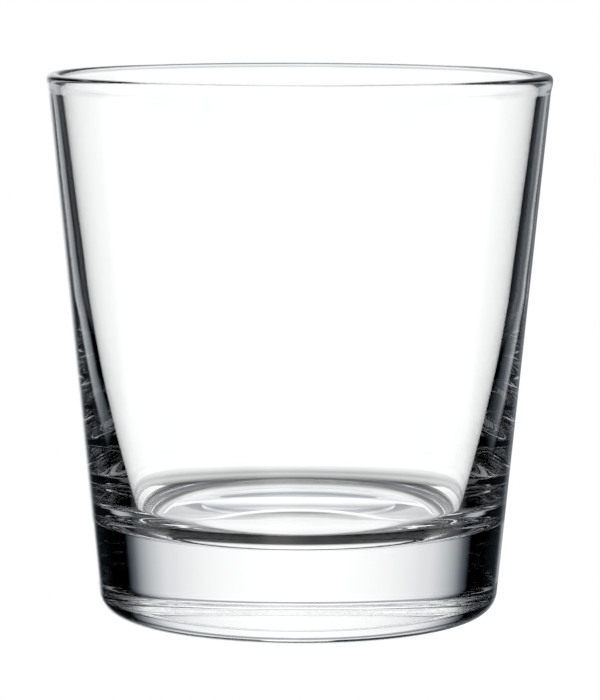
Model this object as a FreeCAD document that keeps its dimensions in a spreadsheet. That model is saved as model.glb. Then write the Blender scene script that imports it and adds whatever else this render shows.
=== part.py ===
"""Whiskey tumbler: one piece of pressed clear glass with a heavy base.

The glass stands on its foot ring with +Z up and the origin at the centre of the
foot, in millimetres. Everything is turned about Z, so each feature is half a
section in the XZ plane revolved through a full turn, and rounded afterwards.
"""
import FreeCAD, Part
import math
import os
import Sketcher

FULL_TURN = 360.0
MATCH = 0.01          # how closely an edge has to agree with the circle asked for

# name, value in mm, what it is
DIMENSIONS = [
    ("overall_height", 90.0, "foot plane to the top of the lip"),
    ("foot_radius", 33.10, "outer wall carried straight down to the foot plane"),
    ("heel_round", 3.8, "rounding between the outer wall and the foot"),
    ("neck_radius", 41.58, "outer wall just under the rim bead"),
    ("neck_height", 87.2, "height where the outer wall ends and the bead starts"),
    ("bead_radius", 41.90, "widest radius of the rim bead"),
    ("bead_height", 88.4, "height where the bead reaches its widest radius"),
    ("bead_blend", 4.0, "rounding of the bead into the wall"),
    ("mouth_radius", 39.75, "inner wall carried straight up to the lip"),
    ("lip_outer_round", 0.9, "outer half of the rounded lip"),
    ("lip_inner_round", 0.9, "inner half of the rounded lip"),
    ("curve_height", 54.0, "height where the inner wall stops being straight"),
    ("curve_radius", 35.25, "inner radius at that height"),
    ("wall_curve", 285.0, "radius of the slow inward curve of the lower inner wall"),
    ("corner_round", 7.2, "radius between the inner wall and the inner floor"),
    ("floor_height", 14.85, "thickness of solid glass under the drink"),
    ("punt_radius", 28.5, "radius of the hollow under the base"),
    ("punt_depth", 1.2, "depth of the hollow at its middle"),
]


def make_sheet(doc):
    """Put the driving dimensions in a spreadsheet, one alias each."""
    sheet = doc.addObject("Spreadsheet::Sheet", "Dimensions")
    for row, (name, value, meaning) in enumerate(DIMENSIONS, start=1):
        sheet.set(f"A{row}", name)
        sheet.set(f"B{row}", str(value))
        sheet.set(f"C{row}", meaning)
        sheet.setAlias(f"B{row}", name)
    doc.recompute()
    return sheet


def section_sketch(body, name):
    """An empty sketch on the body's XZ plane: sketch x is radius, sketch y is height."""
    sketch = body.newObject("Sketcher::SketchObject", name)
    plane = next(f for f in body.Origin.OriginFeatures if f.Role == "XZ_Plane")
    sketch.AttachmentSupport = [(plane, "")]
    sketch.MapMode = "FlatFace"
    return sketch


def pin(sketch, direction, edge, vertex, alias, value):
    """Hold a vertex at a distance from the origin that the sheet gives."""
    index = sketch.addConstraint(Sketcher.Constraint(direction, -1, 1, edge, vertex, value))
    sketch.setExpression(f"Constraints[{index}]", f"Dimensions.{alias}")


def hold_radius(sketch, arc, alias, value):
    index = sketch.addConstraint(Sketcher.Constraint("Radius", arc, value))
    sketch.setExpression(f"Constraints[{index}]", f"Dimensions.{alias}")


def close_loop(sketch, count):
    """Join each edge's end to the next edge's start, all the way round."""
    for edge in range(count):
        follower = (edge + 1) % count
        sketch.addConstraint(Sketcher.Constraint("Coincident", edge, 2, follower, 1))


def line(start, end):
    return Part.LineSegment(FreeCAD.Vector(*start, 0), FreeCAD.Vector(*end, 0))


def arc(centre, radius, start_angle, end_angle):
    circle = Part.Circle(FreeCAD.Vector(*centre, 0), FreeCAD.Vector(0, 0, 1), radius)
    return Part.ArcOfCircle(circle, start_angle, end_angle)


def turn(body, kind, name, sketch):
    """Revolve a sketch once round the body's vertical axis."""
    feature = body.newObject(kind, name)
    feature.Profile = sketch
    feature.ReferenceAxis = (sketch, ["V_Axis"])
    feature.Angle = FULL_TURN
    body.Document.recompute()
    return feature


def circle_edge(shape, radius, height):
    """Name of the level circular edge with this radius at this height."""
    for number, edge in enumerate(shape.Edges, start=1):
        if edge.Degenerated or not isinstance(edge.Curve, Part.Circle):
            continue
        curve = edge.Curve
        if abs(curve.Radius - radius) < MATCH and abs(curve.Center.z - height) < MATCH:
            return f"Edge{number}"
    raise RuntimeError(f"no circular edge of radius {radius} at height {height}")


def round_edges(body, name, circles, alias):
    """Round the named circles with the radius that the sheet gives."""
    base = body.Tip
    edges = [circle_edge(base.Shape, radius, height) for radius, height in circles]
    fillet = body.newObject("PartDesign::Fillet", name)
    fillet.Base = (base, edges)
    fillet.setExpression("Radius", f"Dimensions.{alias}")
    body.Document.recompute()
    return fillet


def outer_section(body, size):
    """Solid outline: foot, leaning wall, rim bead and flat top."""
    sketch = section_sketch(body, "outer_section")
    corners = [
        ("foot_radius", None),
        ("neck_radius", "neck_height"),
        ("bead_radius", "bead_height"),
        ("bead_radius", "overall_height"),
        (None, "overall_height"),
        (None, None),
    ]
    points = [(size.get(radius, 0.0), size.get(height, 0.0)) for radius, height in corners]
    count = len(points)
    for index in range(count):
        sketch.addGeometry(line(points[index], points[(index + 1) % count]))
    close_loop(sketch, count)
    for index, (radius, height) in enumerate(corners):
        if radius:
            pin(sketch, "DistanceX", index, 1, radius, size[radius])
        else:
            sketch.addConstraint(Sketcher.Constraint("PointOnObject", index, 1, -2))
        if height:
            pin(sketch, "DistanceY", index, 1, height, size[height])
        else:
            sketch.addConstraint(Sketcher.Constraint("PointOnObject", index, 1, -1))
    return sketch


def cavity_section(body, size):
    """Drink space: straight wall, slow curve, rounded corner and level floor."""
    sketch = section_sketch(body, "cavity_section")
    top = size["overall_height"]
    floor = size["floor_height"]
    slow = size["wall_curve"]
    tight = size["corner_round"]

    mouth = (size["mouth_radius"], top)
    bend = (size["curve_radius"], size["curve_height"])
    lean = math.atan2(mouth[0] - bend[0], mouth[1] - bend[1])
    slow_centre = (bend[0] - slow * math.cos(lean), bend[1] + slow * math.sin(lean))
    rise = slow_centre[1] - (floor + tight)
    tight_centre = (slow_centre[0] + math.sqrt((slow - tight) ** 2 - rise ** 2), floor + tight)
    meet = math.atan2(-rise, tight_centre[0] - slow_centre[0])
    down = -math.pi / 2

    meeting = (tight_centre[0] + tight * math.cos(meet), tight_centre[1] + tight * math.sin(meet))
    edge_of_floor = (tight_centre[0], floor)
    axis, wall, curve, corner, bottom, lid = range(6)
    sketch.addGeometry(line((0.0, floor), (0.0, top)))
    sketch.addGeometry(line(mouth, bend))
    sketch.addGeometry(arc(slow_centre, slow, meet, -lean))
    sketch.addGeometry(arc(tight_centre, tight, down, meet))
    sketch.addGeometry(line(edge_of_floor, (0.0, floor)))
    sketch.addGeometry(line((0.0, top), mouth))

    # an arc starts at its lower end here and ends at its upper end
    sketch.addConstraint(Sketcher.Constraint("Coincident", bottom, 2, axis, 1))
    sketch.addConstraint(Sketcher.Constraint("Coincident", axis, 2, lid, 1))
    sketch.addConstraint(Sketcher.Constraint("Coincident", lid, 2, wall, 1))
    sketch.addConstraint(Sketcher.Constraint("Tangent", wall, 2, curve, 2))
    sketch.addConstraint(Sketcher.Constraint("Tangent", curve, 1, corner, 2))
    sketch.addConstraint(Sketcher.Constraint("Tangent", corner, 1, bottom, 1))
    sketch.addConstraint(Sketcher.Constraint("PointOnObject", axis, 1, -2))
    sketch.addConstraint(Sketcher.Constraint("Vertical", axis))
    sketch.addConstraint(Sketcher.Constraint("Horizontal", lid))
    sketch.addConstraint(Sketcher.Constraint("Horizontal", bottom))
    pin(sketch, "DistanceX", wall, 1, "mouth_radius", mouth[0])
    pin(sketch, "DistanceY", wall, 1, "overall_height", top)
    pin(sketch, "DistanceX", wall, 2, "curve_radius", bend[0])
    pin(sketch, "DistanceY", wall, 2, "curve_height", bend[1])
    pin(sketch, "DistanceY", axis, 1, "floor_height", floor)
    hold_radius(sketch, curve, "wall_curve", slow)
    hold_radius(sketch, corner, "corner_round", tight)
    return sketch


def punt_section(body, size):
    """Shallow hollow under the base: an arc from the axis down to the foot ring."""
    sketch = section_sketch(body, "punt_section")
    reach = size["punt_radius"]
    depth = size["punt_depth"]
    ball = (reach ** 2 + depth ** 2) / (2 * depth)
    centre = (0.0, depth - ball)
    start_angle = math.atan2(-centre[1], reach)
    roof, stem, base = range(3)
    sketch.addGeometry(arc(centre, ball, start_angle, math.pi / 2))
    sketch.addGeometry(line((0.0, depth), (0.0, 0.0)))
    sketch.addGeometry(line((0.0, 0.0), (reach, 0.0)))
    close_loop(sketch, 3)
    sketch.addConstraint(Sketcher.Constraint("Coincident", base, 1, -1, 1))
    sketch.addConstraint(Sketcher.Constraint("Horizontal", base))
    sketch.addConstraint(Sketcher.Constraint("Vertical", stem))
    sketch.addConstraint(Sketcher.Constraint("PointOnObject", roof, 3, -2))
    pin(sketch, "DistanceX", base, 2, "punt_radius", reach)
    pin(sketch, "DistanceY", stem, 1, "punt_depth", depth)
    return sketch


def glass_body(doc, size):
    """The whole tumbler, in the order it is formed: outside, drink space, underside."""
    body = doc.addObject("PartDesign::Body", "glass_body")
    body.Label = "glass_body"
    body.Placement = FreeCAD.Placement()
    top = size["overall_height"]

    turn(body, "PartDesign::Revolution", "outer_form", outer_section(body, size))
    blank = body.Shape.Volume
    turn(body, "PartDesign::Groove", "drink_space", cavity_section(body, size))
    hollowed = body.Shape.Volume
    turn(body, "PartDesign::Groove", "punt", punt_section(body, size))
    if not body.Shape.Volume < hollowed < blank:
        raise RuntimeError("a groove has cut nothing")

    round_edges(body, "heel", [(size["foot_radius"], 0.0)], "heel_round")
    bead = [(size["neck_radius"], size["neck_height"]), (size["bead_radius"], size["bead_height"])]
    round_edges(body, "bead", bead, "bead_blend")
    round_edges(body, "lip_outside", [(size["bead_radius"], top)], "lip_outer_round")
    round_edges(body, "lip_inside", [(size["mouth_radius"], top)], "lip_inner_round")
    print(f"glass {body.Shape.Volume / 1000:.1f} cm3, drink space {(blank - hollowed) / 1000:.0f} ml")
    return body


def check(doc, bodies):
    """Stop if anything failed to build."""
    for item in doc.Objects:
        if "Invalid" in item.State or "Error" in item.State:
            raise RuntimeError(f"{item.Label} failed: {item.State}")
    for body in bodies:
        shape = body.Shape
        if shape.isNull() or not shape.isValid() or len(shape.Solids) != 1:
            raise RuntimeError(f"{body.Label} is not one valid solid")


def main():
    doc = FreeCAD.newDocument("whiskey_tumbler")
    sheet = make_sheet(doc)
    size = {name: float(sheet.get(name)) for name, _, _ in DIMENSIONS}
    bodies = [glass_body(doc, size)]
    doc.recompute()
    check(doc, bodies)
    os.makedirs("parts", exist_ok=True)
    for body in bodies:
        body.Shape.exportStep(f"parts/{body.Label}.step")
        box = body.Shape.optimalBoundingBox()
        print(body.Label, f"{box.XLength:.2f} x {box.YLength:.2f} x {box.ZLength:.2f} mm")


main()
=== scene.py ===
"""Looks of the whiskey tumbler: one piece of clear pressed glass on a white sweep.

Everything is in metres and in the CAD's frame. The glass is turned again here as a fine
mesh, because what is seen is light bent by it, and a coarse mesh bends light in facets.
"""
import bpy
import math
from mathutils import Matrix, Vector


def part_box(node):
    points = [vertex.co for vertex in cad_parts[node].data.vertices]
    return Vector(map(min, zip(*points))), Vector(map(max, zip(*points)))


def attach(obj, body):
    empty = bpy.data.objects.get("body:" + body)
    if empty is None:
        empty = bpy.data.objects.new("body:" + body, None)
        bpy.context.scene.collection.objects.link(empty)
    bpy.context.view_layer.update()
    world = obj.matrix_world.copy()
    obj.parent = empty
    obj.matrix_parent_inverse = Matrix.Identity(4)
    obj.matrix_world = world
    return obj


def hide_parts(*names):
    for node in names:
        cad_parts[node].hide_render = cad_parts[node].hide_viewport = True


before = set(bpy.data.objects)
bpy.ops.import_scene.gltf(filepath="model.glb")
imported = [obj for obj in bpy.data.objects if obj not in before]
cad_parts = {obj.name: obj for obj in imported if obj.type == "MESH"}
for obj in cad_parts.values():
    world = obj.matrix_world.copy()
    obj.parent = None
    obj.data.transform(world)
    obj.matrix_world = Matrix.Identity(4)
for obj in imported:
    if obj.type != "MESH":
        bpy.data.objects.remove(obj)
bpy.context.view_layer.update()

glass_low, glass_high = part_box("glass_body")

# ---------------------------------------------------------------- the glass's section
# The section is drawn in millimetres and brought to metres by the height of the CAD glass.
DESIGN_HEIGHT = 90.0
UNIT = (glass_high.z - glass_low.z) / DESIGN_HEIGHT

FOOT_RADIUS = 33.10
HEEL_ROUND = 3.8
NECK = (41.58, 87.2)
BEAD_RADIUS = (glass_high.x - glass_low.x) / 2 / UNIT
BEAD_HEIGHT = 88.4
BEAD_BLEND = 4.0
MOUTH_RADIUS = 39.75
LIP_OUTER_ROUND = 0.9
LIP_INNER_ROUND = 0.9
BEND = (35.25, 54.0)
WALL_CURVE = 285.0
CORNER_ROUND = 7.2
FLOOR_HEIGHT = 14.85
PUNT_RADIUS = 28.5
PUNT_DEPTH = 1.2
RING_ROUND = 6.0

# How finely the outline is divided. Points closer to the axis than ON_AXIS count as on it.
SEGMENTS = 256
ARC_STEPS = 24
ROOF_STEPS = 40
RING_STEPS = 8
OUTER_WALL_STEPS = 40
INNER_WALL_STEPS = 30
FLOOR_STEPS = 24
ON_AXIS = 1e-6

# The surface: patches of haze about 8 mm across, and mould waves about 12 mm long, at most
# 12 micrometres high. There is haze only where its noise is above the range's lower end.
GLASS_TINT = (0.994, 0.998, 1.0, 1.0)
GLASS_IOR = 1.52
HAZE_SCALE = 120.0
HAZE_DETAIL = 3.0
HAZE_RANGE = (0.45, 0.75)
HAZE_ROUGHNESS = 0.012
WAVE_SCALE = 80.0
WAVE_DETAIL = 1.0
WAVE_HEIGHT = 0.000012


def arc_points(centre, radius, start, end, steps):
    """Points on an arc, both ends included."""
    angles = [start + (end - start) * step / steps for step in range(steps + 1)]
    return [(centre[0] + radius * math.cos(a), centre[1] + radius * math.sin(a)) for a in angles]


def line_points(start, end, steps):
    """Points from start to end, both included."""
    shares = [step / steps for step in range(steps + 1)]
    return [(start[0] + (end[0] - start[0]) * s, start[1] + (end[1] - start[1]) * s) for s in shares]


def rounded_corner(before, corner, after, radius, steps):
    """The arc that rounds a corner, as points from its first tangent point to its last."""
    to_before = (before[0] - corner[0], before[1] - corner[1])
    to_after = (after[0] - corner[0], after[1] - corner[1])
    heading_before = math.atan2(to_before[1], to_before[0])
    heading_after = math.atan2(to_after[1], to_after[0])
    opening = (heading_after - heading_before + math.pi) % (2 * math.pi) - math.pi
    middle = heading_before + opening / 2
    reach = radius / math.sin(abs(opening) / 2)
    centre = (corner[0] + reach * math.cos(middle), corner[1] + reach * math.sin(middle))
    sweep = math.pi - abs(opening)
    side = math.copysign(1.0, opening)
    away = middle + math.pi
    return arc_points(centre, radius, away + side * sweep / 2, away - side * sweep / 2, steps)


def punt_outline():
    """Underside, from the axis out to the foot ring."""
    ball = (PUNT_RADIUS ** 2 + PUNT_DEPTH ** 2) / (2 * PUNT_DEPTH)
    half = math.asin(PUNT_RADIUS / ball)
    centre = (0.0, PUNT_DEPTH - ball)
    roof = arc_points(centre, ball, math.pi / 2, math.pi / 2 - half, ROOF_STEPS)
    ring = rounded_corner(roof[-2], roof[-1], (FOOT_RADIUS, 0.0), RING_ROUND, RING_STEPS)
    return roof[:-1] + ring


def outer_outline():
    """Foot ring, heel, leaning wall, bead and outer half of the lip."""
    ring = (PUNT_RADIUS, 0.0)
    foot = (FOOT_RADIUS, 0.0)
    bead = (BEAD_RADIUS, BEAD_HEIGHT)
    brim = (BEAD_RADIUS, DESIGN_HEIGHT)
    mouth = (MOUTH_RADIUS, DESIGN_HEIGHT)
    heel = rounded_corner(ring, foot, NECK, HEEL_ROUND, ARC_STEPS)
    neck = rounded_corner(foot, NECK, bead, BEAD_BLEND, ARC_STEPS // 2)
    bulge = rounded_corner(NECK, bead, brim, BEAD_BLEND, ARC_STEPS // 2)
    lip = rounded_corner(bead, brim, mouth, LIP_OUTER_ROUND, ARC_STEPS)
    wall = line_points(heel[-1], neck[0], OUTER_WALL_STEPS)
    return heel + wall[1:-1] + neck + bulge + lip


def cavity_outline():
    """Inner half of the lip, straight wall, slow curve, corner and level floor."""
    brim = (BEAD_RADIUS, DESIGN_HEIGHT)
    mouth = (MOUTH_RADIUS, DESIGN_HEIGHT)
    lip = rounded_corner(brim, mouth, BEND, LIP_INNER_ROUND, ARC_STEPS)
    wall = line_points(lip[-1], BEND, INNER_WALL_STEPS)

    lean = math.atan2(MOUTH_RADIUS - BEND[0], DESIGN_HEIGHT - BEND[1])
    slow_centre = (BEND[0] - WALL_CURVE * math.cos(lean), BEND[1] + WALL_CURVE * math.sin(lean))
    corner_height = FLOOR_HEIGHT + CORNER_ROUND
    rise = slow_centre[1] - corner_height
    reach = math.sqrt((WALL_CURVE - CORNER_ROUND) ** 2 - rise ** 2)
    corner_centre = (slow_centre[0] + reach, corner_height)
    meet = math.atan2(-rise, reach)
    slow = arc_points(slow_centre, WALL_CURVE, -lean, meet, 4 * ARC_STEPS)
    corner = arc_points(corner_centre, CORNER_ROUND, meet, -math.pi / 2, 2 * ARC_STEPS)
    floor = line_points(corner[-1], (0.0, FLOOR_HEIGHT), FLOOR_STEPS)
    return lip + wall[1:] + slow[1:] + corner[1:] + floor[1:]


def turned_mesh(name, outline):
    """Turn an outline that starts and ends on the axis into a closed mesh."""
    mesh = bpy.data.meshes.new(name)
    vertices = []
    faces = []
    rings = []
    for radius, height in outline:
        first = len(vertices)
        reach = radius * UNIT
        level = glass_low.z + height * UNIT
        if radius < ON_AXIS:
            vertices.append((0.0, 0.0, level))
            rings.append([first])
            continue
        for step in range(SEGMENTS):
            turn = 2 * math.pi * step / SEGMENTS
            vertices.append((reach * math.cos(turn), reach * math.sin(turn), level))
        rings.append(list(range(first, first + SEGMENTS)))
    for ring, following in zip(rings, rings[1:]):
        for step in range(SEGMENTS):
            after = (step + 1) % SEGMENTS
            if len(ring) == 1:
                faces.append((ring[0], following[after], following[step]))
            elif len(following) == 1:
                faces.append((ring[step], ring[after], following[0]))
            else:
                faces.append((ring[step], ring[after], following[after], following[step]))
    mesh.from_pydata(vertices, [], faces)
    mesh.shade_smooth()
    mesh.update()
    return mesh


# ---------------------------------------------------------------- node helpers
def add_node(tree, kind, *inputs, **settings):
    """Add a node. An input is a value or another node's output, and None leaves it alone."""
    made = tree.nodes.new(kind)
    for key, value in settings.items():
        setattr(made, key, value)
    for index, value in enumerate(inputs):
        if hasattr(value, "is_output"):
            tree.links.new(value, made.inputs[index])
        elif value is not None:
            made.inputs[index].default_value = value
    return made


def graded(tree, value, span, levels):
    """Take a value from one span to another, held at both ends."""
    return add_node(tree, "ShaderNodeMapRange", value, *span, *levels).outputs[0]


def grey_ramp(tree, share, stops):
    """A ramp with these (position, level) stops, in grey."""
    made = add_node(tree, "ShaderNodeValToRGB", share)
    spots = made.color_ramp.elements
    for _ in stops[2:]:
        spots.new(0.5)
    for spot in list(spots):
        spot.position = 0.0
    for index in range(len(stops) - 1, -1, -1):
        spots[index].position = stops[index][0]
    for index, (position, level) in enumerate(stops):
        spots[index].color = (level, level, level, 1.0)
    return made.outputs[0]


# ---------------------------------------------------------------- material
def clear_glass():
    """Clear glass, fire-polished: a hint of mould waviness and of handling haze."""
    material = bpy.data.materials.new("clear_glass")
    material.use_nodes = True
    tree = material.node_tree
    shader = tree.nodes["Principled BSDF"]
    shader.inputs["Base Color"].default_value = GLASS_TINT
    shader.inputs["IOR"].default_value = GLASS_IOR
    shader.inputs["Transmission Weight"].default_value = 1.0
    place = add_node(tree, "ShaderNodeTexCoord").outputs["Object"]

    def noise(scale, detail):
        made = add_node(tree, "ShaderNodeTexNoise", place)
        made.inputs["Scale"].default_value = scale
        made.inputs["Detail"].default_value = detail
        return made.outputs[0]

    haze = graded(tree, noise(HAZE_SCALE, HAZE_DETAIL), HAZE_RANGE, (0.0, HAZE_ROUGHNESS))
    tree.links.new(haze, shader.inputs["Roughness"])
    bump = add_node(tree, "ShaderNodeBump")
    bump.inputs["Strength"].default_value = 1.0
    bump.inputs["Distance"].default_value = WAVE_HEIGHT
    tree.links.new(noise(WAVE_SCALE, WAVE_DETAIL), bump.inputs["Height"])
    tree.links.new(bump.outputs[0], shader.inputs["Normal"])
    return material


# ---------------------------------------------------------------- studio
# This is an invented light, not a plain one. Its brightness depends on direction and also on
# the way that light took through the glass, which no real lamp or tent does. Its levels were
# worked out outside this script, from the photograph's brightness traced back through the
# glass, and then rounded and adjusted by hand.
#
# Stops are (degrees, level): by azimuth to the right of straight back, the same in front as
# behind, or by height above level. MIRRORED is for light that never entered the glass, PASSED
# for light that crossed four surfaces or more, and the rest for guided light, which crossed
# one to three. SIDE is for mirrored and guided light. RIM and DIRECT are for guided light
# that never turned inside the glass.
SIDE_AZIMUTH = [(-90, 1), (-80, .8), (-74, 0), (74, 0), (80, .8), (90, 1)]
MIRRORED_AZIMUTH = [
    (-90, 0), (-50, 0), (-28, .02), (-25, .1), (-22, .3), (-15, 1.15), (-7, 1.15), (0, .7),
    (7, .3), (19, .27), (28, .04), (50, 0), (90, 0)]
GUIDED_HIGH_AZIMUTH = [
    (-90, 0), (-44.5, 0), (-41, .13), (-38, .3), (-34, .52), (-29, .75), (-24, .89), (-17, 1.01),
    (-8, 1.1), (8, 1.1), (17, 1.01), (24, .89), (29, .75), (34, .52), (38, .3), (41, .13),
    (44.5, 0), (90, 0)]
GUIDED_LOW_AZIMUTH = [(-90, 0), (-7.5, 0), (-6, 1.1), (6, 1.1), (7.5, 0), (90, 0)]
LINE_AZIMUTH = [
    (-90, 0), (-23.3, 0), (-21.5, .25), (-20, .42), (-17.7, .6), (-16.2, .78), (-15, .6),
    (-13.6, .03), (9, 0), (11, .5), (12.5, .75), (13.5, .75), (15, .5), (18, .2), (24, 0), (90, 0)]
LINE_SCALE = [
    (-90, .5), (-26, .5), (-23, .56), (-20, .62), (-17, .64), (-13, .68), (-11, .78), (-8, .85),
    (90, .85)]
LINE_HEIGHT = [
    (-90, 0), (-26, 0), (-23, .3), (-20, .65), (-17, .88), (-13, .95), (-11, 1.15), (-8, 1.5),
    (90, 1.5)]
GUIDED_HEIGHT = [
    (-90, .02), (-60, .02), (-45, .3), (-35, .6), (-30, 1), (40, 1), (43, .5), (46, 1), (90, 1)]
DIRECT_HEIGHT = [(-90, 1), (14, 1), (17.5, .35), (21, .35), (25, 1), (90, 1)]
RIM_HEIGHT = [(-90, 1), (-24, 1), (-20, .72), (-10, .72), (-7, 1), (90, 1)]
RIM_AZIMUTH = [(-90, 0), (-38, 0), (-30, 1), (30, 1), (38, 0), (90, 0)]
PASSED_BACK_HEIGHT = [(-90, 1.15), (57, 1.15), (60, .8), (64, .5), (68, .9), (90, .9)]
PASSED_FRONT_HEIGHT = [
    (-90, 1.15), (46, 1.15), (50, .9), (54, .9), (56, .45), (60, .18), (64, .16), (68, .35),
    (75, .45), (90, .5)]

# Heights, in degrees, over which guided light goes from low to high, and from high to steep.
LOW_TO_HIGH = (-8.0, -5.0)
HIGH_TO_STEEP = (46.0, 50.0)

# Light Path counts. In the world, Ray Depth is one more than the number of bounces: 3 for
# light that goes straight in and out. On a surface it is one less than in the world.
ENTERED_COUNT = 0.5
CROSSED_COUNT = 3.5
TURNED_DEPTH = 3.5
PAPER_TURNED_DEPTH = 2.5
PAPER_LONG_DEPTH = 7.5
TRAPPED_DEPTH = (5.0, 7.5)
TRAPPED_LEVELS = (1.0, 0.06)
STEEP_DEPTH = (5.0, 8.0)
STEEP_LEVELS = (0.5, 1.25)
LONG_DEPTH = (7.0, 9.0)
STREAK_LEVELS = (0.0, 0.55)
WORN_DEPTH = (9.2, 11.0)
WORN_LEVELS = (1.0, 0.1)

LIGHT_BOUNCES = 40

# Powers of the level in red, green and blue, which make the darker light slightly bluer.
TONE_POWERS = (1.08, 1.02, 0.96)

# The white floor and the glowing sheet with the painted contact shadow: how far their corners
# are from the middle and how far they lie below the foot, in metres, and how many corners they have.
SWEEP_REACH = 4.0
SWEEP_DROP = 0.0001
SWEEP_CORNERS = 4
SHADE_REACH = 0.052
SHADE_DROP = 0.00005
SHADE_CORNERS = 96

# The glowing sheet close round the foot carries a painted contact shadow: bright in the middle,
# a painted dark ring round the foot, and painted shade further in under the front. Its stops are
# (millimetres from the axis, level). SHADE_TURN is where, in millimetres along Y, the painted
# shade goes over from that behind to that in front.
SHADE_TURN = (5.0, -10.0)
SHADE_OUTSIDE = [
    (36.5, 0), (38.2, .3), (40.7, .62), (42, .62), (44.3, .48), (46.8, .72), (50, .95), (52, 1)]
SHADE_BEHIND = [(0, 1), (29, 1), (30.6, .8), (32, .2), (33, 0)] + SHADE_OUTSIDE
SHADE_IN_FRONT = [(0, 1), (15.5, 1), (18, .65), (20, .06), (31, 0)] + SHADE_OUTSIDE
# Painted shade for light that turned inside the wall, and an even painted grey for light on long
# paths.
SHADE_FROM_WALL = [(0, 1), (15.5, 1), (18, .65), (20, .05), (31, 0), (52, 0)]
LONG_PATH_GREY = (0.9, 0.9, 0.9, 1.0)

# The camera, in millimetres for the sensor and lens, metres and radians.
CAMERA_SENSOR = 36.0
CAMERA_LENS = 189.85
CAMERA_PLACE = (-0.00002, -0.6123, 0.1176)
CAMERA_DIP = 0.1199
CAMERA_ROLL = math.radians(-0.18)


def make_tent():
    """The world light, as the comment above its stops describes it. The camera sees white."""
    world = bpy.data.worlds.new("light_tent")
    bpy.context.scene.world = world
    world.use_nodes = True
    tree = world.node_tree
    tree.nodes.clear()

    def sums(operation, *inputs):
        return add_node(tree, "ShaderNodeMath", *inputs, operation=operation).outputs[0]

    def mix(share, first, second):
        difference = sums("SUBTRACT", second, first)
        return sums("MULTIPLY_ADD", difference, share, first)

    def ramp(angle, stops):
        peak = max(level for _, level in stops)
        share = graded(tree, angle, (-90.0, 90.0), (0.0, 1.0))
        made = grey_ramp(tree, share, [((turn + 90.0) / 180.0, level / peak) for turn, level in stops])
        return sums("MULTIPLY", made, peak)

    direction = add_node(tree, "ShaderNodeTexCoord").outputs["Generated"]
    x, y, z = add_node(tree, "ShaderNodeSeparateXYZ", direction).outputs
    azimuth = sums("DEGREES", sums("ARCTAN2", x, sums("ABSOLUTE", y)))
    height = sums("DEGREES", sums("ARCSINE", z))
    is_high = graded(tree, height, LOW_TO_HIGH, (0.0, 1.0))
    is_steep = graded(tree, height, HIGH_TO_STEEP, (0.0, 1.0))
    is_front = sums("LESS_THAN", y, 0.0)

    path = add_node(tree, "ShaderNodeLightPath").outputs
    depth = path["Ray Depth"]
    entered = sums("GREATER_THAN", path["Transmission Depth"], ENTERED_COUNT)
    crossed = sums("GREATER_THAN", path["Transmission Depth"], CROSSED_COUNT)
    is_direct = sums("LESS_THAN", depth, TURNED_DEPTH)

    sides = ramp(azimuth, SIDE_AZIMUTH)
    mirrored = sums("MAXIMUM", ramp(azimuth, MIRRORED_AZIMUTH), sides)

    # Guided light: low, then high, then steep. What turned back to the front is dark.
    skewed = sums("MULTIPLY", azimuth, ramp(height, LINE_SCALE))
    lines = sums("MULTIPLY", ramp(skewed, LINE_AZIMUTH), ramp(height, LINE_HEIGHT))
    low = sums("MAXIMUM", ramp(azimuth, GUIDED_LOW_AZIMUTH), lines)
    rim = mix(ramp(azimuth, RIM_AZIMUTH), 1.0, ramp(height, RIM_HEIGHT))
    guided = mix(is_high, mix(is_direct, low, rim), ramp(azimuth, GUIDED_HIGH_AZIMUTH))
    guided = sums("MULTIPLY", guided, ramp(height, GUIDED_HEIGHT))
    guided = sums("MULTIPLY", guided, mix(is_direct, 1.0, ramp(height, DIRECT_HEIGHT)))
    trapped = graded(tree, depth, TRAPPED_DEPTH, TRAPPED_LEVELS)
    steep = graded(tree, depth, STEEP_DEPTH, STEEP_LEVELS)
    guided = mix(is_steep, sums("MULTIPLY", guided, trapped), steep)
    turned_back = sums("MULTIPLY", is_front, sums("GREATER_THAN", depth, TURNED_DEPTH))
    guided = mix(sums("MULTIPLY", turned_back, sums("SUBTRACT", 1.0, is_steep)), guided, 0.0)
    streak = graded(tree, depth, LONG_DEPTH, STREAK_LEVELS)
    guided = sums("MAXIMUM", guided, sums("MULTIPLY", sides, sums("MAXIMUM", is_direct, streak)))

    passed = mix(is_front, ramp(height, PASSED_BACK_HEIGHT), ramp(height, PASSED_FRONT_HEIGHT))
    passed = sums("MULTIPLY", passed, graded(tree, depth, WORN_DEPTH, WORN_LEVELS))

    light = mix(crossed, mix(entered, mirrored, guided), passed)
    dim = sums("MINIMUM", light, 1.0)
    strong = sums("MAXIMUM", light, 1.0)
    tones = [sums("MULTIPLY", sums("POWER", dim, power), strong) for power in TONE_POWERS]
    tones = [sums("MAXIMUM", tone, path["Is Camera Ray"]) for tone in tones]
    colour = add_node(tree, "ShaderNodeCombineXYZ", *tones).outputs[0]
    back = add_node(tree, "ShaderNodeBackground", colour)
    add_node(tree, "ShaderNodeOutputWorld", back.outputs[0])


def glowing(name):
    """An unlit white material; gives back the material, its node tree and its emission node."""
    material = bpy.data.materials.new(name)
    material.use_nodes = True
    tree = material.node_tree
    tree.nodes.clear()
    glow = add_node(tree, "ShaderNodeEmission", (1.0, 1.0, 1.0, 1.0))
    add_node(tree, "ShaderNodeOutputMaterial", glow.outputs[0])
    return material, tree, glow


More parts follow.
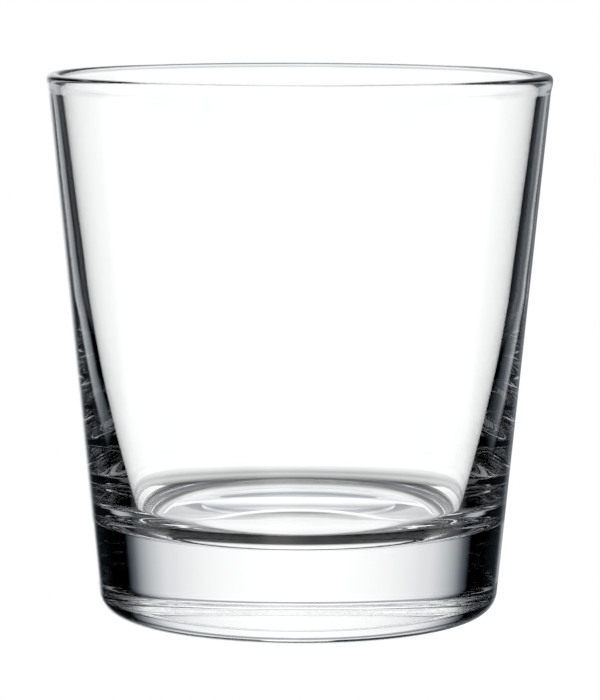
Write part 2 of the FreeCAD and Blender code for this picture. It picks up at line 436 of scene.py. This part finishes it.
def painted_contact_shadow():
    """Glowing sheet under the foot with a painted contact shadow: its painted shade depends on place,
    and on the way light took to it.
    """
    material, tree, glow = glowing("painted_contact_shadow")

    def sums(operation, *inputs):
        return add_node(tree, "ShaderNodeMath", *inputs, operation=operation).outputs[0]

    def mix_colour(share, first, second):
        # Five sockets for other kinds of value come before the two colours.
        inputs = [share, None, None, None, None, None, first, second]
        return add_node(tree, "ShaderNodeMix", *inputs, data_type="RGBA").outputs[2]

    place = add_node(tree, "ShaderNodeTexCoord").outputs["Object"]
    radius = add_node(tree, "ShaderNodeVectorMath", place, operation="LENGTH").outputs["Value"]
    share = sums("DIVIDE", radius, SHADE_REACH)

    def shade(stops):
        return grey_ramp(tree, share, [(far * UNIT / SHADE_REACH, level) for far, level in stops])

    y = add_node(tree, "ShaderNodeSeparateXYZ", place).outputs["Y"]
    turn = [edge * UNIT for edge in SHADE_TURN]
    # The painted shadow reaches further in under the front of the foot than behind it.
    in_front = graded(tree, y, turn, (0.0, 1.0))
    resting = mix_colour(in_front, shade(SHADE_BEHIND), shade(SHADE_IN_FRONT))

    # Light that turned inside the wall, or took a long path, meets its own painted shade or painted
    # grey.
    path = add_node(tree, "ShaderNodeLightPath").outputs
    is_inner = sums("LESS_THAN", path["Transmission Depth"], CROSSED_COUNT)
    has_turned = sums("GREATER_THAN", path["Ray Depth"], PAPER_TURNED_DEPTH)
    from_wall = sums("MULTIPLY", is_inner, has_turned)
    is_long = sums("GREATER_THAN", path["Ray Depth"], PAPER_LONG_DEPTH)
    shaded = mix_colour(from_wall, resting, shade(SHADE_FROM_WALL))
    tree.links.new(mix_colour(is_long, shaded, LONG_PATH_GREY), glow.inputs["Color"])
    return material


def lay_paper(name, reach, corners, drop, material):
    """A flat sheet, with its corners that far from its middle, that far below the foot."""
    mesh = bpy.data.meshes.new(name)
    turns = [2 * math.pi * (corner + 0.5) / corners for corner in range(corners)]
    edge = [(reach * math.cos(turn), reach * math.sin(turn), 0.0) for turn in turns]
    mesh.from_pydata(edge, [], [list(range(corners))])
    paper = bpy.data.objects.new(name, mesh)
    paper.location = (0.0, 0.0, glass_low.z - drop)
    bpy.context.scene.collection.objects.link(paper)
    mesh.materials.append(material)
    paper.visible_glossy = False
    return paper


def make_camera():
    """A long lens, slightly above the rim, looking slightly down."""
    data = bpy.data.cameras.new("camera")
    camera = bpy.data.objects.new("camera", data)
    bpy.context.scene.collection.objects.link(camera)
    bpy.context.scene.camera = camera
    data.sensor_width = CAMERA_SENSOR
    data.lens = CAMERA_LENS
    camera.location = CAMERA_PLACE
    camera.rotation_euler = (math.pi / 2 - CAMERA_DIP, CAMERA_ROLL, 0.0)


section = punt_outline() + outer_outline() + cavity_outline()
glass = bpy.data.objects.new("tumbler_glass", turned_mesh("tumbler_glass", section))
bpy.context.scene.collection.objects.link(glass)
glass.data.materials.append(clear_glass())
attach(glass, "root")
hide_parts("glass_body")

# The camera sees the floor. Light that came through the glass meets the small glowing sheet
# with its painted contact shadow instead, and beyond it the world.
make_tent()
sweep = lay_paper("floor", SWEEP_REACH, SWEEP_CORNERS, SWEEP_DROP, glowing("white_sweep")[0])
sweep.visible_transmission = False
# This sheet glows with the painted contact shadow and is hidden from the camera.
shaded = lay_paper("painted_shadow_sheet", SHADE_REACH, SHADE_CORNERS, SHADE_DROP, painted_contact_shadow())
shaded.visible_camera = False
make_camera()

# Light turns many times inside thick glass, so its paths are long.
scene = bpy.context.scene
scene.view_settings.view_transform = "Standard"
scene.cycles.max_bounces = LIGHT_BOUNCES
scene.cycles.glossy_bounces = LIGHT_BOUNCES
scene.cycles.transmission_bounces = LIGHT_BOUNCES
